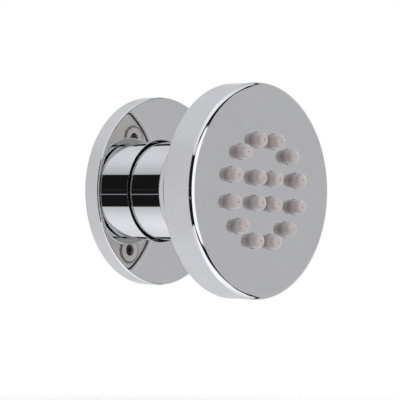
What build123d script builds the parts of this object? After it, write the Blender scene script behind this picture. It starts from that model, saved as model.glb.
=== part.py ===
# Adjustable shower body jet: a round wall flange, a round neck that holds a ball joint, and a spray head.
# The jet's axis is Y. The wall is the plane Y = 0, the head looks towards -Y, Z is up, and sizes are in mm.
# A depth is a distance out of the wall, so it lies at Y = -depth. A negative depth is inside the wall.
from build123d import *
import math
import os

os.makedirs("parts", exist_ok=True)

# Clearances
RUN = 0.05  # radial and end play of the seat ring in its pocket
BALL_RUN = 0.03  # ball in its seat and in its seal
SOFT = 0.03  # soft rings in their grooves
SLIP = 0.1  # pieces that are pushed together by hand
SLACK = 0.3  # pieces that must not touch

# Wall flange
FLANGE_R = 31.25
FLANGE_DEPTH = 5.8
FLANGE_EDGE = 0.6
FLANGE_WALL = 2.0
FLANGE_FACE = 1.7
FLANGE_HOLE_GAP = 0.55
FLANGE_HOLE_EDGE = 0.5
FLANGE_FOOT = 0.2
HUB_WALL = 3.8
HUB_BACK = 1.2
HUB_LIP = 1.2
HOLE_LIP = 0.7

# Neck collar, the round sleeve nut that is seen between flange and head, with a groove behind its front lip
NECK_R = 16.3
NECK_BACK = 2.2
NECK_FRONT = 22.5
NECK_EDGE = 0.3
NECK_FOOT = 0.3
LIP_RISE = 1.8
LIP_T = 2.2
LIP_EDGE = 0.4
GROOVE_W = 0.7
GROOVE_DEPTH = 0.7
GROOVE_EDGE = 0.2
COLLAR_WALL = 2.25
SKIRT_WALL = 0.9
COLLAR_LIP = 2.2
MOUTH_R = 8.8
MOUTH_FLARE = 1.4

# Inlet body: half-inch pipe thread, stated as its plain outside, and the cup behind the ball
PIPE_R = 10.4
PIPE_REACH = 14.0
PIPE_LEAD = 1.2
RELIEF_R = 9.4
WATER_R = 5.5
WASHER_T = 1.5
SHOULDER_FRONT = 5.0
FLAT_CUT = 1.6
CUP_CLEAR = 0.5
CUP_FRONT = 14.2
CUP_LEAD = 0.6

# Filter and flow limiter in the end of the pipe thread
POCKET_R = 7.2
POCKET_DEPTH = 6.6
LIMITER_T = 3.6
LIMITER_WEB = 1.8
LIMITER_RIM = 1.1
LIMITER_GROOVE = 1.2
LIMITER_GROOVE_DEPTH = 1.0
LIMITER_HOLES = 8
LIMITER_HOLE_R = 0.7
LIMITER_HOLE_RING = 3.3
FILTER_T = 2.2
FILTER_LIP = 0.9
MESH_T = 0.4
MESH_HOLD = 0.8
MESH_GAP = 0.85
MESH_PITCH = 1.35

# Ball joint
SEAT_WALL = 2.8
BALL_DEPTH = 14.5
TAIL_CUT = 1.5
STEM_R = 5.2
STEM_BORE_R = 3.2
STEM_FUNNEL_R = 4.6
STEM_FUNNEL = 2.4
HEX_FLATS = 13.0
HEX_BACK = 26.6
HEX_FRONT = 30.6
THREAD_R = 5.0
THREAD_LEAD = 0.8
STEM_WASHER_T = 1.4
STEM_WASHER_R = 7.4
SEAL_REACH = 3.4
SEAL_T = 4.1
SEAT_STEP = 1.4

# Spray head
HEAD_R = 35.0
HEAD_BACK = 37.3
HEAD_FRONT = 49.2
HEAD_WALL = 2.0
FACE_WALL = 1.8
FACE_EDGE = 1.9
BACK_EDGE = 1.05
CLOCK = -2.9  # turn of the nozzle pattern about the jet's axis, in degrees

# Nozzle mat
RING_R = 16.75
RING_COUNT = 12
INNER_R = 5.75
INNER_COUNT = 4
NOZZLE_R = 2.4
NOZZLE_TIP_R = 2.2
NOZZLE_REACH = 3.7
NOZZLE_NOSE = 1.1
NOZZLE_GAP = 0.2
JET_R = 0.3
JET_LENGTH = 1.3
FEED_R = 1.2
MAT_R = 21.6
MAT_T = 1.6

# Back plate of the head and its screws
PLATE_SINK = 0.8
PLATE_T = 3.0
PLATE_GAP = 0.4
CHAMBER_R = 19.7
BOSS_R = 9.5
BOSS_FILLET = 1.5
BOSS_EDGE = 0.5
SCREW_INSET = 5.1
SCREW_COUNT = 4
SCREW_R = 1.1
SCREW_LENGTH = 6.0
SCREW_HEAD_R = 1.75
SCREW_HEAD_T = 1.2
SCREW_HEAD_EDGE = 0.35
SCREW_CROSS = 2.0
SCREW_CROSS_W = 0.5
SCREW_CROSS_DEPTH = 0.7
SCREW_SINK = 0.3
PAD_R = 4.3
PAD_RISE = 0.5
POST_R = 3.2
POST_FLOOR = 1.0


def front_plane(depth, x=0.0, z=0.0):
    """Plane across the jet's axis at a depth, looking out of the wall."""
    return Plane(origin=(x, -depth, z), z_dir=(0, -1, 0))


def turned(*corners):
    """Solid turned about the jet's axis from (radius, depth) corners."""
    outline = Polyline(*[(radius, -depth) for radius, depth in corners], close=True)
    return revolve(make_face(outline), Axis.Y)


def soft_ring(path_r, depth, section_r):
    """Round-section sealing ring about the jet's axis."""
    return revolve(Plane.XY * Pos(path_r, -depth) * Circle(section_r), Axis.Y)


def rod(radius, back, front, x=0.0, z=0.0):
    """Round bar along the jet's axis between two depths."""
    return extrude(front_plane(back, x, z) * Circle(radius), front - back)


def taper(back_r, front_r, back, front, x=0.0, z=0.0):
    """Tapered bar along the jet's axis between two depths."""
    return front_plane((back + front) / 2, x, z) * Cone(back_r, front_r, front - back)


def around(radius, count, start):
    """Places on a circle about the jet's axis."""
    turns = [math.radians(start + 360.0 * k / count) for k in range(count)]
    return [(radius * math.cos(t), radius * math.sin(t)) for t in turns]


def round_edges(solid, radius, depth):
    """Round edges of one radius at one depth."""
    found = solid.edges().filter_by(GeomType.CIRCLE)
    return [e for e in found if abs(e.radius - radius) < 1e-4 and abs(e.arc_center.Y + depth) < 1e-4]


def save(solid, name):
    export_step(solid, f"parts/{name}.step")


# Wall flange: a turned cover with a hub that carries a sealing ring on the neck
groove_back = HUB_BACK + HUB_LIP
groove_front = FLANGE_DEPTH - HOLE_LIP
section_r = (groove_front - groove_back) / 2 - SOFT
groove_r = NECK_R + 2 * section_r + 2 * SOFT
hub_r = groove_r + HUB_WALL
hole_r = NECK_R + FLANGE_HOLE_GAP
under_face = FLANGE_DEPTH - FLANGE_FACE
flange = turned(
    (FLANGE_R, 0),
    (FLANGE_R, FLANGE_DEPTH),
    (hole_r, FLANGE_DEPTH),
    (hole_r, groove_front),
    (groove_r, groove_front),
    (groove_r, groove_back),
    (NECK_R + SLACK, groove_back),
    (NECK_R + SLACK, HUB_BACK),
    (hub_r, HUB_BACK),
    (hub_r, under_face),
    (FLANGE_R - FLANGE_WALL, under_face),
    (FLANGE_R - FLANGE_WALL, 0),
)
flange = fillet(round_edges(flange, FLANGE_R, FLANGE_DEPTH), FLANGE_EDGE)
flange = fillet(round_edges(flange, hole_r, FLANGE_DEPTH), FLANGE_HOLE_EDGE)
flange = chamfer(round_edges(flange, FLANGE_R, 0), FLANGE_FOOT)
save(flange, "wall_flange")

# Sealing ring that grips the neck and holds the flange against the wall
save(soft_ring(NECK_R + SOFT + section_r, (groove_back + groove_front) / 2, section_r), "flange_seal")

# Inlet body, with two flats on its shoulder for a spanner
cup_r = NECK_R - COLLAR_WALL - RUN
seat_r = cup_r - SEAT_STEP
ball_r = seat_r - SEAT_WALL
cup_in = ball_r + SLACK
cup_floor = BALL_DEPTH - ball_r + CUP_CLEAR
shoulder_r = NECK_R - SKIRT_WALL - SLACK
pocket_floor = POCKET_DEPTH - PIPE_REACH
body = turned(
    (WATER_R, cup_floor),
    (cup_in, cup_floor),
    (cup_in, CUP_FRONT),
    (cup_r, CUP_FRONT),
    (cup_r, SHOULDER_FRONT),
    (shoulder_r, SHOULDER_FRONT),
    (shoulder_r, WASHER_T),
    (RELIEF_R, WASHER_T),
    (RELIEF_R, 0),
    (PIPE_R, 0),
    (PIPE_R, -PIPE_REACH),
    (POCKET_R, -PIPE_REACH),
    (POCKET_R, pocket_floor),
    (WATER_R, pocket_floor),
)
body = chamfer(round_edges(body, PIPE_R, -PIPE_REACH), PIPE_LEAD)
body = chamfer(round_edges(body, cup_r, CUP_FRONT), CUP_LEAD)
shoulder_mid = (SHOULDER_FRONT + WASHER_T) / 2
for side in (-1, 1):
    flat = Box(2 * shoulder_r, SHOULDER_FRONT - WASHER_T, shoulder_r)
    body -= Pos(0, -shoulder_mid, side * (1.5 * shoulder_r - FLAT_CUT)) * flat
save(body, "inlet_body")

# Flat washer between the body's shoulder and the pipe fitting in the wall
washer = rod(shoulder_r - SLACK, 0, WASHER_T) - rod(PIPE_R + SLIP, 0, WASHER_T)
save(washer, "inlet_washer")

# Flow limiter: a moulded disc with a ring of holes and a groove for its seal
insert_r = POCKET_R - SLIP
limiter_back = pocket_floor - LIMITER_T
limiter_groove = limiter_back + LIMITER_RIM
limiter = turned(
    (0, limiter_back),
    (insert_r, limiter_back),
    (insert_r, limiter_groove),
    (insert_r - LIMITER_GROOVE_DEPTH, limiter_groove),
    (insert_r - LIMITER_GROOVE_DEPTH, limiter_groove + LIMITER_GROOVE),
    (insert_r, limiter_groove + LIMITER_GROOVE),
    (insert_r, pocket_floor),
    (WATER_R - SLIP, pocket_floor),
    (LIMITER_HOLE_RING + 2 * LIMITER_HOLE_R, limiter_back + LIMITER_WEB),
    (0, limiter_back + LIMITER_WEB),
)
for x, z in around(LIMITER_HOLE_RING, LIMITER_HOLES, 0):
    limiter -= rod(LIMITER_HOLE_R, limiter_back, limiter_back + LIMITER_WEB, x, z)
save(limiter, "flow_limiter")
limiter_section = (POCKET_R - insert_r + LIMITER_GROOVE_DEPTH) / 2 - SOFT
limiter_mid = limiter_groove + LIMITER_GROOVE / 2
save(soft_ring(POCKET_R - SOFT - limiter_section, limiter_mid, limiter_section), "limiter_seal")

# Filter washer, and the wire mesh that is moulded into it
filter_back = limiter_back - FILTER_T
mesh_back = filter_back + FILTER_LIP
mesh_r = WATER_R + MESH_HOLD
filter_washer = rod(insert_r, filter_back, limiter_back) - rod(WATER_R, filter_back, limiter_back)
filter_washer -= rod(mesh_r, mesh_back, mesh_back + MESH_T)
save(filter_washer, "filter_washer")
rows = range(-int(WATER_R / MESH_PITCH), int(WATER_R / MESH_PITCH) + 1)
grid = [(i * MESH_PITCH, k * MESH_PITCH) for i in rows for k in rows]
gaps = [Pos(x, z) * Rectangle(MESH_GAP, MESH_GAP) for x, z in grid if math.hypot(x, z) < WATER_R - MESH_GAP]
mesh = rod(mesh_r, mesh_back, mesh_back + MESH_T)
mesh -= extrude(front_plane(mesh_back) * Sketch(children=gaps), MESH_T)
save(mesh, "filter_mesh")

# Neck collar: the sleeve nut that screws over the cup and holds the ball's front seat
seat_front = NECK_FRONT - COLLAR_LIP
skirt_end = SHOULDER_FRONT + SLACK
lip_r = NECK_R + LIP_RISE
lip_back = NECK_FRONT - LIP_T
groove_end = lip_back - GROOVE_W
groove_floor = NECK_R - GROOVE_DEPTH
collar = turned(
    (NECK_R, NECK_BACK),
    (NECK_R, groove_end),
    (groove_floor, groove_end),
    (groove_floor, lip_back),
    (lip_r, lip_back),
    (lip_r, NECK_FRONT),
    (MOUTH_R + MOUTH_FLARE, NECK_FRONT),
    (MOUTH_R, seat_front),
    (seat_r + RUN, seat_front),
    (seat_r + RUN, CUP_FRONT),
    (cup_r + RUN, CUP_FRONT),
    (cup_r + RUN, skirt_end),
    (shoulder_r + SLACK, skirt_end),
    (shoulder_r + SLACK, NECK_BACK),
)
collar = fillet(round_edges(collar, NECK_R, groove_end), GROOVE_EDGE)
collar = fillet(round_edges(collar, lip_r, lip_back), LIP_EDGE)
collar = fillet(round_edges(collar, lip_r, NECK_FRONT), NECK_EDGE)
collar = chamfer(round_edges(collar, NECK_R, NECK_BACK), NECK_FOOT)
save(collar, "neck_collar")

# Ball seal on the cup's floor, and the plastic seat ring in front of the ball
socket = Pos(0, -BALL_DEPTH, 0) * Sphere(ball_r + BALL_RUN)
seal_out = cup_in - SLIP
seal_in = ball_r - SEAL_REACH
seal_front = cup_floor + SEAL_T
seal = rod(seal_out, cup_floor, seal_front) - rod(seal_in, cup_floor, seal_front) - socket
save(seal, "ball_seal")
seat = rod(seat_r, CUP_FRONT + RUN, seat_front - RUN) - socket
save(seat, "seat_ring")

# Ball stem: hollow ball, round stem with a hexagon, and the threaded end that carries the head
plate_back = HEAD_BACK + PLATE_SINK
plate_front = plate_back + PLATE_T
tail = BALL_DEPTH - ball_r + TAIL_CUT
stem = Pos(0, -BALL_DEPTH, 0) * Sphere(ball_r)
stem -= rod(ball_r, BALL_DEPTH - ball_r, tail)
stem += rod(STEM_R, BALL_DEPTH, HEX_FRONT)
hexagon = front_plane(HEX_BACK) * RegularPolygon(HEX_FLATS / 2, 6, major_radius=False)
stem += extrude(hexagon, HEX_FRONT - HEX_BACK)
stem += rod(THREAD_R, HEX_FRONT, plate_front - THREAD_LEAD)
stem += taper(THREAD_R, THREAD_R - THREAD_LEAD, plate_front - THREAD_LEAD, plate_front)
stem -= rod(STEM_BORE_R, tail, plate_front)
stem -= taper(STEM_FUNNEL_R, STEM_BORE_R, tail, tail + STEM_FUNNEL)
save(stem, "ball_stem")

# Washer between the hexagon and the head's boss
boss_back = HEX_FRONT + STEM_WASHER_T
stem_washer = rod(STEM_WASHER_R, HEX_FRONT, boss_back) - rod(THREAD_R + SLIP, HEX_FRONT, boss_back)
save(stem_washer, "stem_washer")

# Head shell: plated face and rim in one piece, with a hole for each nozzle and a post for each screw
face_back = HEAD_FRONT - FACE_WALL
inner_r = HEAD_R - HEAD_WALL
nozzles = around(RING_R, RING_COUNT, CLOCK + 180 / RING_COUNT) + around(INNER_R, INNER_COUNT, CLOCK + 45)
plate_r = inner_r - PLATE_GAP
screws = around(plate_r - SCREW_INSET, SCREW_COUNT, CLOCK + 45)
shell = turned(
    (0, face_back),
    (0, HEAD_FRONT),
    (HEAD_R, HEAD_FRONT),
    (HEAD_R, HEAD_BACK),
    (inner_r, HEAD_BACK),
    (inner_r, face_back),
)
shell = fillet(round_edges(shell, HEAD_R, HEAD_FRONT), FACE_EDGE)
shell = fillet(round_edges(shell, HEAD_R, HEAD_BACK), BACK_EDGE)
for x, z in screws:
    shell += rod(POST_R, plate_front, HEAD_FRONT - FACE_WALL / 2, x, z)
    shell -= rod(SCREW_R + RUN, plate_front, face_back - POST_FLOOR, x, z)
for x, z in nozzles:
    shell -= rod(NOZZLE_R + NOZZLE_GAP, face_back, HEAD_FRONT, x, z)
save(shell, "head_shell")

# Nozzle mat: one moulded sheet with a rub-clean nozzle through each hole
mat_back = face_back - MAT_T
tip = HEAD_FRONT + NOZZLE_REACH
feed_end = tip - JET_LENGTH
mat = rod(MAT_R, mat_back, face_back)
for x, z in nozzles:
    mat += rod(NOZZLE_R, face_back, HEAD_FRONT, x, z)
    mat += taper(NOZZLE_R, NOZZLE_TIP_R, HEAD_FRONT, tip, x, z)
mat = fillet(round_edges(mat, NOZZLE_TIP_R, tip), NOZZLE_NOSE)
for x, z in nozzles:
    mat -= rod(FEED_R, mat_back, feed_end, x, z)
    mat -= rod(JET_R, feed_end, tip, x, z)
save(mat, "nozzle_mat")

# Back plate: closes the water chamber, presses the mat to the face and carries the threaded boss
plate = turned(
    (THREAD_R + SLIP, boss_back),
    (BOSS_R, boss_back),
    (BOSS_R, plate_back),
    (plate_r, plate_back),
    (plate_r, plate_front),
    (MAT_R, plate_front),
    (MAT_R, mat_back),
    (CHAMBER_R, mat_back),
    (CHAMBER_R, plate_front),
    (THREAD_R + SLIP, plate_front),
)
plate = fillet(round_edges(plate, BOSS_R, plate_back), BOSS_FILLET)
plate = chamfer(round_edges(plate, BOSS_R, boss_back), BOSS_EDGE)
pad_back = plate_back - PAD_RISE
head_top = pad_back + SCREW_SINK
screw_seat = head_top + SCREW_HEAD_T
for x, z in screws:
    plate += rod(PAD_R, pad_back, plate_front, x, z)
    plate -= rod(SCREW_HEAD_R + SLACK, pad_back, screw_seat, x, z)
    plate -= rod(SCREW_R + SLIP, screw_seat, plate_front, x, z)
save(plate, "back_plate")

# Screws with a cross recess, through the back plate into the shell's posts
screw_set = []
for x, z in screws:
    screw = rod(SCREW_HEAD_R, head_top, screw_seat, x, z)
    screw = chamfer(round_edges(screw, SCREW_HEAD_R, head_top), SCREW_HEAD_EDGE)
    for width, height in ((SCREW_CROSS, SCREW_CROSS_W), (SCREW_CROSS_W, SCREW_CROSS)):
        screw -= extrude(front_plane(head_top, x, z) * Rectangle(width, height), SCREW_CROSS_DEPTH)
    screw += rod(SCREW_R, screw_seat, screw_seat + SCREW_LENGTH, x, z)
    screw_set.append(screw)
save(Compound(children=screw_set), "cover_screws")
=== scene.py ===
import math

import bmesh
import bpy
from bpy.props import FloatProperty, FloatVectorProperty, PointerProperty
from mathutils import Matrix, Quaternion, Vector


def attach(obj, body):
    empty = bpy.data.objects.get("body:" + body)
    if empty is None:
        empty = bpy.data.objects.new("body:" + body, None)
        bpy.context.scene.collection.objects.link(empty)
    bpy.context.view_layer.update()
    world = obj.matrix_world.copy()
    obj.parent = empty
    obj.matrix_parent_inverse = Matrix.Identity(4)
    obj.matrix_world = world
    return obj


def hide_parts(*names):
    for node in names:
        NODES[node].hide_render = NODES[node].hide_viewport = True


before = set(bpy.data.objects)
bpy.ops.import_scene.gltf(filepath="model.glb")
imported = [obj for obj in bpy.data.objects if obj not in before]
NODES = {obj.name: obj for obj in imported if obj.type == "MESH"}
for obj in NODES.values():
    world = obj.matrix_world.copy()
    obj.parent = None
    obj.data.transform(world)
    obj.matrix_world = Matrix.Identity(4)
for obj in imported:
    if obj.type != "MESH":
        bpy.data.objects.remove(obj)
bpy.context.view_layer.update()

bl_info = {
    "name": "Shower body jet",
    "version": (1, 0, 0),
    "blender": (4, 5, 0),
    "location": "3D View > Sidebar > Body jet",
    "description": "Dresses the pieces of a wall-mounted shower body jet and sets its light tent and camera",
    "category": "Object",
}

# Rounded edges of the plated pieces, as the part has them: for each, the circle on which the middle of its
# rounding lies (radius, depth from the wall) and the rounding's own radius, in metres.
ROUNDED = {
    "wall_flange": ((0.03065, 0.0052, 0.0006), (0.01735, 0.0053, 0.0005)),
    "neck_collar": ((0.0161, 0.0194, 0.0002), (0.0177, 0.0207, 0.0004), (0.0178, 0.0222, 0.0003)),
    "head_shell": ((0.0331, 0.0473, 0.0019), (0.03395, 0.03835, 0.00105)),
}

# What counts as a round wall: corners clear of the jet's axis, in metres, and faces that hardly lean along
# the axis and look straight out from it or in to it. On a rounded edge a corner misses the rounding by less
# than a slack, in metres, and its face looks roughly the rounding's way.
AXIS_CLEAR = 0.001
WALL_LEAN = 0.02
WALL_MATCH = 0.998
EDGE_SLACK = 0.000004
EDGE_MATCH = 0.7

# Pipe thread: steps round and along it, how far off the pipe's radius a corner of its plain outside may lie,
# in metres, and the share of half a pitch that stays flat at the root and at the crest
THREAD_AROUND = 120
THREAD_ALONG = 128
PIPE_SLACK = 0.00002
THREAD_FLAT = 0.06

# Painted shade at the foot of a screw pad, where pad meets plate: the share of the cover's colour that
# it keeps, and the share of its reach that is fully dark
LINE_SHADE = 0.35
LINE_CORE = 0.3

# What tarnish leaves of the brass's red, green and blue
TARNISH = (0.86, 0.82, 0.78)

# Width of the picture that the camera fits, in pixels, and of the sensor, in millimetres, and how near the
# camera sees, in metres
PICTURE = 400.0
SENSOR = 36.0
CLIP_NEAR = 0.01
MM_PER_METRE = 1000.0

# Sides of the round floor, and the share of its radius at which it begins to fade
FLOOR_SIDES = 96
FLOOR_FADE = 0.5


def colour(name, description, default):
    return FloatVectorProperty(
        name=name, description=description, default=default, subtype="COLOR", size=3, min=0.0, max=1.0
    )


def share(name, description, default, top=1.0):
    return FloatProperty(
        name=name, description=description, default=default, min=0.0, max=top, subtype="FACTOR"
    )


def length(name, description, default):
    return FloatProperty(name=name, description=description, default=default, unit="LENGTH", precision=5)


def angle(name, description, degrees):
    return FloatProperty(name=name, description=description, default=math.radians(degrees), subtype="ANGLE")


def amount(name, description, default):
    return FloatProperty(name=name, description=description, default=default, min=0.0)


class JET_PG_plating(bpy.types.PropertyGroup):
    """Bright plating of the flange, the neck, the head and the stem."""

    tint: colour("Plating colour", "Colour of the polished plating", (0.74, 0.74, 0.745))
    polish: share("Polish", "Roughness where the plating is cleanest", 0.012)
    haze: share("Haze", "Roughness where the plating is dullest", 0.024)
    mottle: amount("Mottle", "Haze patches per metre", 90.0)
    rim_start: length("Rim roll-off start", "Radius where the face begins to fall off to its rim", 0.0296)
    rim_fall: amount("Rim roll-off", "How fast the flange's face falls off towards its rim", 23.6)
    hole_start: length("Hole roll-off start", "Radius where the face begins to fall off to its hole", 0.0199)
    hole_fall: amount("Hole roll-off", "How fast the flange's face falls off towards its hole", 3.0)


class JET_PG_soft(bpy.types.PropertyGroup):
    """Silicone nozzles and rubber rings."""

    silicone: colour("Silicone colour", "Colour of the nozzle mat", (0.385, 0.325, 0.31))
    silicone_pale: colour("Silicone bloom", "Colour where the mat has gone pale", (0.43, 0.385, 0.37))
    # Painted shade: the colour given to the foot of each nozzle, where it meets the head's face
    silicone_foot_shade: colour("Silicone foot", "Colour of the painted shade at the foot of a nozzle", (0.25, 0.21, 0.2))
    face_depth: length("Face depth", "How far the head's face stands out of the wall", 0.0492)
    # Painted shade: how far up a nozzle the shade at its foot reaches
    foot_shade_reach: length("Foot reach", "How far up a nozzle its dark foot goes", 0.0020)
    rubber: colour("Rubber colour", "Colour of the sealing rings", (0.012, 0.012, 0.013))
    grain: amount("Grain", "Moulded grains per metre", 5200.0)


class JET_PG_moulded(bpy.types.PropertyGroup):
    """Plastic cover, its screws, the seat and the limiter."""

    cover: colour("Cover colour", "Colour of the head's back plate", (0.90, 0.86, 0.82))
    seat: colour("Seat colour", "Colour of the ball's seat ring and of the limiter", (0.78, 0.77, 0.74))
    pad_turn: angle("Screw turn", "Turn of the screws about the jet's axis", 42.1)
    pad_place: length("Screw place", "From the jet's axis to a screw", 0.0275)
    pad_radius: length("Pad radius", "Radius of the raised pad round a screw", 0.0043)
    # Painted shade: reach of the dark line at the foot of each pad
    pad_line: length("Pad line", "Reach of the dark line to either side of the pad's foot", 0.0006)
    screw: colour("Screw colour", "Colour of the blackened screws", (0.018, 0.018, 0.02))


class JET_PG_inlet(bpy.types.PropertyGroup):
    """Brass inlet with its pipe thread, and its strainer."""

    brass: colour("Brass colour", "Colour of the machined brass", (0.69, 0.53, 0.27))
    mesh: colour("Mesh colour", "Colour of the strainer's wire", (0.55, 0.55, 0.56))
    pipe_radius: length("Pipe radius", "Radius over the pipe thread's crests", 0.0104)
    thread_reach: length("Thread reach", "Length of the threaded stretch", 0.0128)
    pitch: length("Pitch", "From one crest of the pipe thread to the next", 0.001814)
    thread_depth: length("Thread depth", "From crest to root", 0.00116)
    run_out: length("Run-out", "Over which the thread fades at either end", 0.0013)


class JET_PG_stage(bpy.types.PropertyGroup):
    """Camera, light tent, floor and lamp."""

    azimuth: angle("Azimuth", "Camera's turn round the jet", -48.94)
    elevation: angle("Elevation", "Camera's rise", -0.318)
    roll: angle("Roll", "Camera's turn about its own line", 0.235)
    distance: length("Distance", "From the camera to the point that it looks at", 0.7583)
    aim_depth: length("Aim depth", "How far that point stands out of the wall", 0.025)
    scale: amount("Scale", "Pixels per millimetre at that point", 3.048)
    centre: FloatVectorProperty(
        name="Centre",
        description="Where that point lies in the picture, in pixels",
        default=(205.9, 191.1),
        size=2,
    )
    tent_left: share("Left wall", "Brightness of the tent to the camera's left", 0.715, 2.0)
    tent_right: share("Right wall", "Brightness of the tent to the camera's right", 0.585, 2.0)
    tent_top: share("Roof by the panel", "Brightness of roof and table near the side panel", 1.2, 2.0)
    tent_far: share("Roof far off", "Brightness of roof and table away from the side panel", 0.785, 2.0)
    tent_side: share("Side panel", "Brightness of the white panel beside the camera", 1.35, 2.0)
    tent_back: share("Backdrop", "Brightness of the white backdrop behind the jet", 1.1, 2.0)
    tent_dark: share("Dark card", "Brightness of the dark card and the seam under the roof", 0.012)
    tent_lens: share("Lens opening", "Brightness of the dark opening round the lens", 0.014)
    tent_slit: share("Slit", "Brightness of the slit below the lens", 0.45)
    tent_tint: colour("Wall light", "Colour of the light from the tent's walls", (0.965, 0.965, 1.0))
    roof_tint: colour("Roof light", "Colour of the light from the tent's roof and table", (0.94, 0.96, 1.0))
    floor_drop: length("Floor drop", "Depth of the floor below the jet's axis", 0.09)
    floor_radius: length("Floor radius", "Half the floor's width", 0.3)
    floor_tint: colour("Floor colour", "Colour of the floor", (0.9, 0.9, 0.9))
    lamp_size: length("Lamp size", "Width of the disc lamp that lights the nozzles", 0.5)
    lamp_power: FloatProperty(name="Lamp power", description="Power of that lamp", default=4.0, unit="POWER")
    lamp_place: FloatVectorProperty(
        name="Lamp place",
        description="Where that lamp stands",
        default=(-0.45, -0.8, -0.1),
        size=3,
        subtype="TRANSLATION",
        unit="LENGTH",
    )


class JET_PG_all(bpy.types.PropertyGroup):
    """Everything that a user would change."""

    plating: PointerProperty(type=JET_PG_plating)
    soft: PointerProperty(type=JET_PG_soft)
    moulded: PointerProperty(type=JET_PG_moulded)
    inlet: PointerProperty(type=JET_PG_inlet)
    stage: PointerProperty(type=JET_PG_stage)


class Graph:
    """Short way to add and join shader nodes in one tree."""

    def __init__(self, tree):
        self.tree = tree

    def node(self, kind, settings=None, **inputs):
        made = self.tree.nodes.new("ShaderNode" + kind)
        for key, value in (settings or {}).items():
            setattr(made, key, value)
        for key, value in inputs.items():
            self.feed(made, key.replace("_", " "), value)
        return made

    def feed(self, made, key, value):
        socket = made.inputs[key]
        if isinstance(value, bpy.types.NodeSocket):
            self.tree.links.new(value, socket)
        else:
            socket.default_value = value

    def place(self):
        return self.node("TexCoord").outputs["Object"]

    def math(self, operation, *values):
        made = self.node("Math", {"operation": operation})
        for k, value in enumerate(values):
            self.feed(made, k, value)
        return made.outputs[0]

    def hypot(self, first, second):
        squares = self.math("ADD", self.math("POWER", first, 2.0), self.math("POWER", second, 2.0))
        return self.math("POWER", squares, 0.5)

    def dot(self, first, second):
        made = self.node("VectorMath", {"operation": "DOT_PRODUCT"})
        self.feed(made, 0, first)
        self.feed(made, 1, second)
        return made.outputs["Value"]

    def remap(self, value, low, high, to_low=0.0, to_high=1.0, smooth=True):
        made = self.node("MapRange", {"interpolation_type": "SMOOTHSTEP" if smooth else "LINEAR"})
        for k, item in enumerate((value, low, high, to_low, to_high)):
            self.feed(made, k, item)
        return made.outputs[0]

    def under(self, value, edge, soft=1.0):
        """1 where the value is under the edge and 0 where it is over it."""
        return self.remap(self.math("SUBTRACT", edge, value), -soft, soft)

    def within(self, value, low, high, soft=1.0):
        return self.both(self.under(low, value, soft), self.under(value, high, soft))

    def both(self, first, second):
        return self.math("MULTIPLY", first, second)

    def blend(self, factor, first, second):
        made = self.node("Mix", {"data_type": "FLOAT"})
        self.feed(made, 0, factor)
        self.feed(made, 2, first)
        self.feed(made, 3, second)
        return made.outputs[0]

    def tint(self, factor, first, second):
        made = self.node("Mix", {"data_type": "RGBA"})
        self.feed(made, 0, factor)
        self.feed(made, 6, first)
        self.feed(made, 7, second)
        return made.outputs[2]


def effect(name, inputs, outputs):
    """New shader node group with named number sockets: its graph, input node and output node."""
    tree = bpy.data.node_groups.new(name, "ShaderNodeTree")
    for label, default in inputs.items():
        socket = tree.interface.new_socket(label, in_out="INPUT", socket_type="NodeSocketFloat")
        socket.default_value = default
    for label in outputs:
        tree.interface.new_socket(label, in_out="OUTPUT", socket_type="NodeSocketFloat")
    return Graph(tree), tree.nodes.new("NodeGroupInput"), tree.nodes.new("NodeGroupOutput")


def patches_effect():
    """Soft patches between two values, for haze, bloom and handling marks."""
    g, given, made = effect("patches", {"Scale": 100.0, "Low": 0.0, "High": 1.0}, ("Value", "Mask"))
    noise = g.node("TexNoise", Vector=g.place(), Scale=given.outputs["Scale"], Detail=5.0, Roughness=0.55)
    mask = g.remap(noise.outputs[0], 0.3, 0.7)
    value = g.remap(mask, 0.0, 1.0, given.outputs["Low"], given.outputs["High"], smooth=False)
    g.feed(made, "Value", value)
    g.feed(made, "Mask", mask)
    return g.tree


def grain_effect():
    """Fine moulded grain with a wider one under it, as a height."""
    g, given, made = effect("grain", {"Scale": 3000.0, "Coarse": 0.3}, ("Height",))
    place = g.place()
    fine = g.node("TexNoise", Vector=place, Scale=given.outputs["Scale"], Detail=2.0)
    wide_scale = g.math("MULTIPLY", given.outputs["Scale"], 0.12)
    wide = g.node("TexNoise", Vector=place, Scale=wide_scale, Detail=2.0)
    g.feed(made, "Height", g.blend(given.outputs["Coarse"], fine.outputs[0], wide.outputs[0]))
    return g.tree


def turning_effect():
    """Fine rings that a lathe leaves round the jet's axis, as a height."""
    g, given, made = effect("turning", {"Rings": 9000.0}, ("Height",))
    split = g.node("SeparateXYZ", Vector=g.place())
    radius = g.hypot(split.outputs["X"], split.outputs["Z"])
    along = g.math("MULTIPLY", g.math("ADD", split.outputs["Y"], radius), given.outputs["Rings"])
    waver = g.node("TexNoise", {"noise_dimensions": "1D"}, W=along, Scale=1.0, Detail=3.0)
    g.feed(made, "Height", waver.outputs[0])
    return g.tree


EFFECTS = {"patches": patches_effect, "grain": grain_effect, "turning": turning_effect}


def place_effect(g, name, **inputs):
    """Places a shared effect, built at its first use, with its own values."""
    made = g.node("Group", {"node_tree": bpy.data.node_groups.get(name) or EFFECTS[name]()})
    for key, value in inputs.items():
        g.feed(made, key, value)
    return made


def finish(name, **values):
    """New material with plain values on its shader: the material, its graph and its shader."""
    material = bpy.data.materials.new(name)
    material.use_nodes = True
    shader = material.node_tree.nodes["Principled BSDF"]
    for key, value in values.items():
        shader.inputs[key.replace("_", " ")].default_value = value
    return material, Graph(material.node_tree), shader


def wear(g, shader, scale, smooth, rough, fresh, worn):
    """Gives a finish its patches of wear, in roughness and in colour, and returns the colour."""
    patches = place_effect(g, "patches", Scale=scale, Low=smooth, High=rough)
    g.feed(shader, "Roughness", patches.outputs["Value"])
    skin = g.tint(patches.outputs["Mask"], rgba(fresh), rgba(worn))
    g.feed(shader, "Base Color", skin)
    return skin


def emboss(g, shader, effect_node, strength, depth):
    bump = g.node("Bump", Strength=strength, Distance=depth, Height=effect_node.outputs["Height"])
    g.feed(shader, "Normal", bump.outputs[0])


def rgba(tint):
    return (*tint, 1.0)


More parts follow.
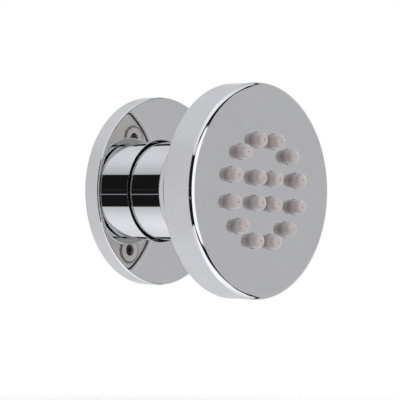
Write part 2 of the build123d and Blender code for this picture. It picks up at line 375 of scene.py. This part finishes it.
def shade(tint, factor):
    return tuple(part * factor for part in tint)


def dress(material, *names):
    """Gives CAD nodes their finish."""
    for name in names:
        NODES[name].data.materials.clear()
        NODES[name].data.materials.append(material)


def ease(part):
    """Smooth step from 0 to 1."""
    part = min(max(part, 0.0), 1.0)
    return part * part * (3.0 - 2.0 * part)


class JET_OT_plating(bpy.types.Operator):
    """Plate the flange, the neck, the head's shell and the stem"""

    bl_idname = "jet.plating"
    bl_label = "Plated pieces"

    def execute(self, context):
        look = context.scene.jet.plating
        dress(self.plating("bright_plating", look)[0], "neck_collar", "head_shell", "ball_stem")
        buffed, g, shader = self.plating("flange_plating", look)
        self.roll_off(g, shader, look)
        dress(buffed, "wall_flange")
        self.polished(context.scene, "polished_flange", "wall_flange", "wall_unit")
        self.polished(context.scene, "polished_neck", "neck_collar", "wall_unit")
        self.polished(context.scene, "polished_head", "head_shell", "head")
        return {"FINISHED"}

    def plating(self, name, look):
        material, g, shader = finish(name, Metallic=1.0)
        wear(g, shader, look.mottle, look.polish, look.haze, look.tint, shade(look.tint, 0.97))
        return material, g, shader

    def roll_off(self, g, shader, look):
        """Buffing takes a little more off the face towards its rim and its hole."""
        split = g.node("SeparateXYZ", Vector=g.place())
        radius = g.hypot(split.outputs["X"], split.outputs["Z"])
        past_rim = g.math("MAXIMUM", g.math("SUBTRACT", radius, look.rim_start), 0.0)
        past_hole = g.math("MAXIMUM", g.math("SUBTRACT", look.hole_start, radius), 0.0)
        rim = g.math("MULTIPLY", g.math("POWER", past_rim, 2.0), look.rim_fall)
        hole = g.math("MULTIPLY", g.math("POWER", past_hole, 2.0), look.hole_fall)
        fall = g.math("ADD", rim, hole)
        bump = g.node("Bump", {"invert": True}, Strength=1.0, Distance=1.0, Height=fall)
        g.feed(shader, "Normal", bump.outputs[0])

    def polished(self, scene, name, node, body):
        """Copy of a turned piece that mirrors cleanly, with true normals on walls and rounded edges."""
        mesh = NODES[node].data.copy()
        normals = [corner.vector.copy() for corner in mesh.corner_normals]
        for face in mesh.polygons:
            for k in face.loop_indices:
                place = mesh.vertices[mesh.loops[k].vertex_index].co
                true = self.true_normal(place, face.normal, ROUNDED[node])
                if true is not None:
                    normals[k] = true
        mesh.normals_split_custom_set(normals)
        piece = bpy.data.objects.new(name, mesh)
        scene.collection.objects.link(piece)
        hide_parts(node)
        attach(piece, body)

    def true_normal(self, place, facing, rounds):
        """Normal of the round wall or rounded edge that a face's corner lies on, or None elsewhere."""
        radius = math.hypot(place.x, place.z)
        if radius < AXIS_CLEAR:
            return None
        outward = Vector((place.x, 0.0, place.z)) / radius
        if abs(facing.y) < WALL_LEAN and abs(facing.dot(outward)) > WALL_MATCH:
            return outward if facing.dot(outward) > 0.0 else -outward
        for ring, depth, edge in rounds:
            way = outward * (radius - ring) + Vector((0.0, place.y + depth, 0.0))
            if abs(way.length - edge) < EDGE_SLACK and way.normalized().dot(facing) > EDGE_MATCH:
                return way.normalized()
        return None


class JET_OT_nozzles(bpy.types.Operator):
    """Finish the soft nozzle mat"""

    bl_idname = "jet.nozzles"
    bl_label = "Nozzles"

    def execute(self, context):
        look = context.scene.jet.soft
        material, g, shader = finish(
            "grey_silicone",
            IOR=1.41,
            Subsurface_Weight=0.6,
            Subsurface_Scale=0.0016,
            Subsurface_Radius=(1.0, 0.85, 0.75),
            Sheen_Weight=1.0,
            Sheen_Roughness=0.58,
        )
        skin = wear(
            g, shader, scale=420.0, smooth=0.38, rough=0.52, fresh=look.silicone, worn=look.silicone_pale
        )
        depth = g.node("SeparateXYZ", Vector=g.place()).outputs["Y"]
        # Painted shade: the silicone darkens towards the foot of each nozzle, where it meets the head's face
        foot = g.remap(depth, -look.face_depth - look.foot_shade_reach, -look.face_depth)
        g.feed(shader, "Base Color", g.tint(foot, skin, rgba(look.silicone_foot_shade)))
        grain = place_effect(g, "grain", Scale=look.grain, Coarse=0.3)
        emboss(g, shader, grain, strength=0.15, depth=0.00004)
        dress(material, "nozzle_mat")
        return {"FINISHED"}


class JET_OT_seals(bpy.types.Operator):
    """Finish the rubber rings and washers"""

    bl_idname = "jet.seals"
    bl_label = "Seals"

    def execute(self, context):
        look = context.scene.jet.soft
        material, g, shader = finish("black_rubber", IOR=1.5)
        worn = shade(look.rubber, 2.2)
        wear(g, shader, scale=300.0, smooth=0.42, rough=0.62, fresh=look.rubber, worn=worn)
        grain = place_effect(g, "grain", Scale=look.grain, Coarse=0.5)
        emboss(g, shader, grain, strength=0.2, depth=0.00005)
        dress(material, "flange_seal", "inlet_washer", "limiter_seal")
        dress(material, "filter_washer", "ball_seal", "stem_washer")
        return {"FINISHED"}


class JET_OT_cover(bpy.types.Operator):
    """Finish the head's back plate and its screws"""

    bl_idname = "jet.cover"
    bl_label = "Back cover"

    def execute(self, context):
        look = context.scene.jet.moulded
        material, g, shader = finish("cover_plastic", IOR=1.5)
        dull = shade(look.cover, 0.93)
        skin = wear(g, shader, scale=160.0, smooth=0.36, rough=0.5, fresh=look.cover, worn=dull)
        # Painted shade: a dark line round the foot of each screw pad, where pad meets plate
        line = shade(look.cover, LINE_SHADE)
        g.feed(shader, "Base Color", g.tint(self.pad_shade_mask(g, look), skin, rgba(line)))
        grain = place_effect(g, "grain", Scale=3600.0, Coarse=0.35)
        emboss(g, shader, grain, strength=0.25, depth=0.00005)
        dress(material, "back_plate")
        black, g, shader = finish("blackened_steel", Metallic=0.6)
        bare = shade(look.screw, 2.5)
        wear(g, shader, scale=900.0, smooth=0.3, rough=0.5, fresh=look.screw, worn=bare)
        dress(black, "cover_screws")
        return {"FINISHED"}

    def pad_shade_mask(self, g, look):
        """Mask of the painted shade at the foot of the four screw pads."""
        place = g.place()
        away = []
        for turn in (look.pad_turn, look.pad_turn + 0.5 * math.pi):
            away.append(g.math("ABSOLUTE", g.dot(place, (math.cos(turn), 0.0, math.sin(turn)))))
        reach = g.math("SUBTRACT", g.math("MAXIMUM", *away), look.pad_place)
        apart = g.hypot(reach, g.math("MINIMUM", *away))
        off = g.math("ABSOLUTE", g.math("SUBTRACT", apart, look.pad_radius))
        return g.remap(off, LINE_CORE * look.pad_line, look.pad_line, 1.0, 0.0)


class JET_OT_joint(bpy.types.Operator):
    """Finish the plastic seat ring and the flow limiter"""

    bl_idname = "jet.joint"
    bl_label = "Joint and limiter"

    def execute(self, context):
        look = context.scene.jet.moulded
        material, g, shader = finish(
            "seat_plastic", IOR=1.48, Subsurface_Weight=0.15, Subsurface_Scale=0.001
        )
        dull = shade(look.seat, 0.92)
        wear(g, shader, scale=240.0, smooth=0.3, rough=0.42, fresh=look.seat, worn=dull)
        dress(material, "seat_ring", "flow_limiter")
        return {"FINISHED"}


class JET_OT_inlet(bpy.types.Operator):
    """Finish the brass inlet and its strainer"""

    bl_idname = "jet.inlet"
    bl_label = "Inlet"

    def execute(self, context):
        look = context.scene.jet.inlet
        material, g, shader = finish("machined_brass", Metallic=1.0)
        dull = tuple(part * kept for part, kept in zip(look.brass, TARNISH))
        wear(g, shader, scale=150.0, smooth=0.2, rough=0.36, fresh=look.brass, worn=dull)
        rings = place_effect(g, "turning", Rings=9000.0)
        emboss(g, shader, rings, strength=0.2, depth=0.00003)
        dress(material, "inlet_body")
        self.threaded(context.scene, look)
        wire, g, shader = finish("strainer_wire", Metallic=1.0)
        grey = shade(look.mesh, 0.85)
        wear(g, shader, scale=1500.0, smooth=0.22, rough=0.4, fresh=look.mesh, worn=grey)
        dress(wire, "filter_mesh")
        return {"FINISHED"}

    def threaded(self, scene, look):
        """Copy of the inlet with its pipe thread cut, as a rounded right-hand helix on its outside."""
        mesh = NODES["inlet_body"].data.copy()
        shape = bmesh.new()
        shape.from_mesh(mesh)
        plain = [face for face in shape.faces if all(self.on_pipe(v.co, look) for v in face.verts)]
        bmesh.ops.delete(shape, geom=plain, context="FACES_ONLY")
        rows = [self.thread_row(shape, look, j / THREAD_ALONG) for j in range(THREAD_ALONG + 1)]
        for low, high in zip(rows, rows[1:]):
            for k in range(THREAD_AROUND):
                after = (k + 1) % THREAD_AROUND
                shape.faces.new((low[k], high[k], high[after], low[after])).smooth = True
        shape.to_mesh(mesh)
        shape.free()
        pipe = bpy.data.objects.new("threaded_inlet", mesh)
        scene.collection.objects.link(pipe)
        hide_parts("inlet_body")
        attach(pipe, "wall_unit")

    def on_pipe(self, place, look):
        return abs(math.hypot(place.x, place.z) - look.pipe_radius) < PIPE_SLACK

    def thread_row(self, shape, look, along):
        """One ring of points round the thread, at a share of its length."""
        y = look.thread_reach * along
        cut = look.thread_depth * ease(min(y, look.thread_reach - y) / look.run_out)
        row = []
        for k in range(THREAD_AROUND):
            crest = abs(2.0 * ((y / look.pitch + k / THREAD_AROUND) % 1.0) - 1.0)
            flank = ease((crest - THREAD_FLAT) / (1.0 - 2.0 * THREAD_FLAT))
            radius = look.pipe_radius - cut * (1.0 - flank)
            turn = math.tau * k / THREAD_AROUND
            row.append(shape.verts.new((radius * math.cos(turn), y, radius * math.sin(turn))))
        return row


def camera_line(stage):
    """Direction from the jet to the camera."""
    flat = math.cos(stage.elevation)
    x = math.sin(stage.azimuth) * flat
    y = -math.cos(stage.azimuth) * flat
    return Vector((x, y, math.sin(stage.elevation)))


class Tent:
    """Light tent as masks and brightnesses over directions, in one shader graph.

    Angles are in degrees. Sides go from the camera's own direction to its right, and rises up from level.
    Heights go from level both up and down, and of a pair the first holds above level and the second below.
    """

    # Walls, which the table lights a little from below, and the backdrop
    WALL_SIDES = (-60.0, 95.0)
    GLOW_RISES = (-25.0, 15.0)
    WALL_GLOW = 1.06
    BACKDROP_SIDES = (108.0, 150.0)
    BACKDROP_HEIGHTS = (5.0, 30.0)
    # Roof and table: where they are brightest and how far that spreads, and how much brighter the table is
    ROOF_MIDDLE = 45.0
    ROOF_SPREAD = 110.0
    TABLE_SIDES = (-40.0, 20.0)
    TABLE_GLOWS = (1.05, 1.17)
    # Heights over which walls turn into roof or table: on the left, in front, and by the seam on the right
    LEFT_SIDES = (-40.0, -10.0)
    LEFT_HEIGHTS = (30.0, 44.0)
    FRONT_START = (16.0, 10.0)
    FRONT_END = 48.0
    RIGHT_SIDES = (60.0, 88.0)
    RIGHT_OFFSETS = (-1.0, 3.0)
    # Dark seam between wall and roof: it climbs, less steeply at its end, and narrows
    SEAM_SIDES = (88.0, 155.0)
    SEAM_CLIMB = (90.0, 113.0)
    SEAM_FOOT = (29.0, 24.5)
    SEAM_TOP = (41.5, 38.5)
    SEAM_END = (113.0, 135.0)
    SEAM_END_RISE = (2.0, 4.5)
    SEAM_TAPER = (95.0, 120.0)
    SEAM_HALVES = (6.0, 2.0)
    # Dark card, whose edge comes down on its far side
    CARD_SIDES = (24.5, 89.5)
    CARD_BEND = (55.0, 90.0)
    CARD_NEAR = (39.0, 32.5)
    CARD_FAR = (32.0, 22.0)
    # White panel on the card: level, then down to a tip
    PANEL_SIDES = (32.0, 92.0)
    PANEL_TOP = (27.0, 22.0)
    PANEL_TIP = 98.0
    PANEL_SLOPE = (0.70, 0.52)
    # Opening round the lens, with a faint line above level and a slit below
    LENS_SIDES = (-29.0, 31.0)
    LENS_TOP = (29.3, 28.3)
    LENS_SLOPE = 0.2
    LINE_RISES = (1.5, 2.3)
    LINE_SHARE = 0.15
    SLIT_SIDES = (-9.0, 9.0)
    SLIT_RISES = (-6.5, -5.1)

    def __init__(self, g, stage):
        self.g = g
        self.stage = stage
        way = g.node("TexCoord").outputs["Generated"]
        right = Vector((math.cos(stage.azimuth), math.sin(stage.azimuth), 0.0))
        across = g.math("ARCTAN2", g.dot(way, right), g.dot(way, camera_line(stage)))
        self.side = g.math("DEGREES", across)
        self.rise = g.math("DEGREES", g.math("ARCSINE", g.dot(way, Vector((0.0, 0.0, 1.0)))))
        self.height = g.math("ABSOLUTE", self.rise)
        self.low = g.remap(self.rise, -1.0, 1.0, 1.0, 0.0)
        self.past_seam = g.math("SUBTRACT", self.height, self.seam_height())

    def either(self, pair):
        """First value of a pair above level, second below."""
        return self.g.blend(self.low, *pair)

    def seam_height(self):
        g = self.g
        climb = g.remap(self.side, *self.SEAM_CLIMB, self.either(self.SEAM_FOOT), self.either(self.SEAM_TOP))
        end = g.remap(self.side, *self.SEAM_END, 0.0, self.either(self.SEAM_END_RISE))
        return g.math("ADD", climb, end)

    def wall_light(self):
        g = self.g
        plain = g.remap(self.side, *self.WALL_SIDES, self.stage.tent_left, self.stage.tent_right)
        lit = g.both(plain, g.remap(self.rise, *self.GLOW_RISES, self.WALL_GLOW, 1.0))
        behind = g.remap(self.side, *self.BACKDROP_SIDES)
        backdrop = g.both(behind, g.remap(self.height, *self.BACKDROP_HEIGHTS, 1.0, 0.0))
        return g.blend(backdrop, lit, self.stage.tent_back)

    def roof_light(self):
        g = self.g
        apart = g.math("ABSOLUTE", g.math("SUBTRACT", self.side, self.ROOF_MIDDLE))
        plain = g.remap(apart, 0.0, self.ROOF_SPREAD, self.stage.tent_top, self.stage.tent_far)
        table = g.remap(self.side, *self.TABLE_SIDES, *self.TABLE_GLOWS)
        return g.both(plain, g.remap(self.rise, *self.GLOW_RISES, table, 1.0))

    def roof(self):
        g = self.g
        left = g.remap(self.height, *self.LEFT_HEIGHTS)
        front = g.remap(self.height, self.either(self.FRONT_START), self.FRONT_END)
        right = g.remap(self.past_seam, *self.RIGHT_OFFSETS)
        ahead = g.blend(g.remap(self.side, *self.LEFT_SIDES), left, front)
        return g.blend(g.remap(self.side, *self.RIGHT_SIDES), ahead, right)

    def seam(self):
        g = self.g
        half = g.remap(self.side, *self.SEAM_TAPER, *self.SEAM_HALVES)
        near = g.under(g.math("ABSOLUTE", self.past_seam), half)
        return g.both(g.within(self.side, *self.SEAM_SIDES, soft=2.0), near)

    def card(self):
        g = self.g
        edge = g.remap(self.side, *self.CARD_BEND, self.either(self.CARD_NEAR), self.either(self.CARD_FAR))
        return g.both(g.within(self.side, *self.CARD_SIDES), g.under(self.height, edge, soft=2.0))

    def panel(self):
        g = self.g
        slant = g.both(g.math("SUBTRACT", self.PANEL_TIP, self.side), self.either(self.PANEL_SLOPE))
        edge = g.math("MINIMUM", slant, self.either(self.PANEL_TOP))
        return g.both(g.within(self.side, *self.PANEL_SIDES, soft=2.0), g.under(self.height, edge))

    def opening(self):
        g = self.g
        fall = g.math("MULTIPLY", self.side, self.LENS_SLOPE)
        edge = g.math("SUBTRACT", self.either(self.LENS_TOP), fall)
        return g.both(g.within(self.side, *self.LENS_SIDES), g.under(self.height, edge))

    def opening_light(self):
        g = self.g
        line = g.within(self.rise, *self.LINE_RISES, soft=0.3)
        lined = g.blend(line, self.stage.tent_lens, self.LINE_SHARE * self.stage.tent_slit)
        slit = g.within(self.rise, *self.SLIT_RISES, soft=0.25)
        slit = g.both(slit, g.within(self.side, *self.SLIT_SIDES))
        return g.blend(slit, lined, self.stage.tent_slit)


class JET_OT_stage(bpy.types.Operator):
    """Set the camera, the light tent, the floor and the lamp"""

    bl_idname = "jet.stage"
    bl_label = "Stage"

    def execute(self, context):
        stage = context.scene.jet.stage
        context.scene.view_settings.view_transform = "Standard"
        self.camera(context.scene, stage)
        self.tent(context.scene, stage)
        self.floor(context.scene, stage)
        self.lamp(context.scene, stage)
        return {"FINISHED"}

    def camera(self, scene, stage):
        back = camera_line(stage)
        data = bpy.data.cameras.new("photo_camera")
        holder = bpy.data.objects.new("photo_camera", data)
        scene.collection.objects.link(holder)
        holder.location = Vector((0.0, -stage.aim_depth, 0.0)) + back * stage.distance
        holder.rotation_mode = "QUATERNION"
        holder.rotation_quaternion = Quaternion(back, stage.roll) @ back.to_track_quat("Z", "Y")
        data.sensor_width = SENSOR
        data.lens = stage.scale * MM_PER_METRE * stage.distance / PICTURE * SENSOR
        data.shift_x = (0.5 * PICTURE - stage.centre[0]) / PICTURE
        data.shift_y = (stage.centre[1] - 0.5 * PICTURE) / PICTURE
        data.clip_start = CLIP_NEAR
        scene.camera = holder

    def tent(self, scene, stage):
        """World that lights the jet and is mirrored as a light tent, while the camera sees plain white."""
        world = bpy.data.worlds.new("light_tent")
        scene.world = world
        world.use_nodes = True
        world.node_tree.nodes.clear()
        g = Graph(world.node_tree)
        tent = Tent(g, stage)
        roof = tent.roof()
        level = g.blend(roof, tent.wall_light(), tent.roof_light())
        level = g.blend(tent.seam(), level, stage.tent_dark)
        level = g.blend(tent.card(), level, stage.tent_dark)
        level = g.blend(tent.panel(), level, stage.tent_side)
        level = g.blend(tent.opening(), level, tent.opening_light())
        light = g.tint(roof, rgba(stage.tent_tint), rgba(stage.roof_tint))
        lit = g.node("Background", Color=light, Strength=level)
        white = g.node("Background", Color=(1.0, 1.0, 1.0, 1.0))
        mix = g.node("MixShader")
        g.feed(mix, 0, g.node("LightPath").outputs["Is Camera Ray"])
        g.feed(mix, 1, lit.outputs[0])
        g.feed(mix, 2, white.outputs[0])
        g.node("OutputWorld", Surface=mix.outputs[0])

    def floor(self, scene, stage):
        """Round floor that takes the jet's shadow and fades out towards its edge."""
        turns = [math.tau * k / FLOOR_SIDES for k in range(FLOOR_SIDES)]
        radius = stage.floor_radius
        rim = [(radius * math.cos(turn), radius * math.sin(turn), -stage.floor_drop) for turn in turns]
        mesh = bpy.data.meshes.new("floor")
        mesh.from_pydata(rim, [], [tuple(range(FLOOR_SIDES))])
        disc = bpy.data.objects.new("floor", mesh)
        scene.collection.objects.link(disc)
        tint = rgba(stage.floor_tint)
        material, g, shader = finish("pale_floor", Base_Color=tint, Roughness=0.9, Specular_IOR_Level=0.0)
        away = g.node("VectorMath", {"operation": "LENGTH"})
        g.feed(away, 0, g.place())
        g.feed(shader, "Alpha", g.remap(away.outputs["Value"], FLOOR_FADE * radius, radius, 1.0, 0.0))
        mesh.materials.append(material)
        disc.visible_glossy = False

    def lamp(self, scene, stage):
        """Weak disc lamp that faces the jet and isn't mirrored."""
        data = bpy.data.lights.new("key_panel", "AREA")
        data.shape = "DISK"
        data.size = stage.lamp_size
        data.energy = stage.lamp_power
        holder = bpy.data.objects.new("key_panel", data)
        scene.collection.objects.link(holder)
        spot = Vector(stage.lamp_place)
        holder.location = spot
        holder.rotation_euler = spot.to_track_quat("Z", "Y").to_euler()
        holder.visible_glossy = False


GROUPS = (JET_PG_plating, JET_PG_soft, JET_PG_moulded, JET_PG_inlet, JET_PG_stage, JET_PG_all)
PIECES = (
    JET_OT_plating,
    JET_OT_nozzles,
    JET_OT_seals,
    JET_OT_cover,
    JET_OT_joint,
    JET_OT_inlet,
    JET_OT_stage,
)


class JET_PT_panel(bpy.types.Panel):
    """Pieces of the body jet, in the order in which they are made"""

    bl_idname = "JET_PT_panel"
    bl_label = "Body jet"
    bl_space_type = "VIEW_3D"
    bl_region_type = "UI"
    bl_category = "Body jet"

    def draw(self, context):
        for piece in PIECES:
            self.layout.operator(piece.bl_idname)


def register():
    for item in (*GROUPS, *PIECES, JET_PT_panel):
        bpy.utils.register_class(item)
    bpy.types.Scene.jet = PointerProperty(type=JET_PG_all)


def unregister():
    del bpy.types.Scene.jet
    for item in reversed((*GROUPS, *PIECES, JET_PT_panel)):
        bpy.utils.unregister_class(item)


def main():
    register()
    bpy.ops.jet.plating()
    bpy.ops.jet.nozzles()
    bpy.ops.jet.seals()
    bpy.ops.jet.cover()
    bpy.ops.jet.joint()
    bpy.ops.jet.inlet()
    bpy.ops.jet.stage()


if __name__ == "__main__":
    main()
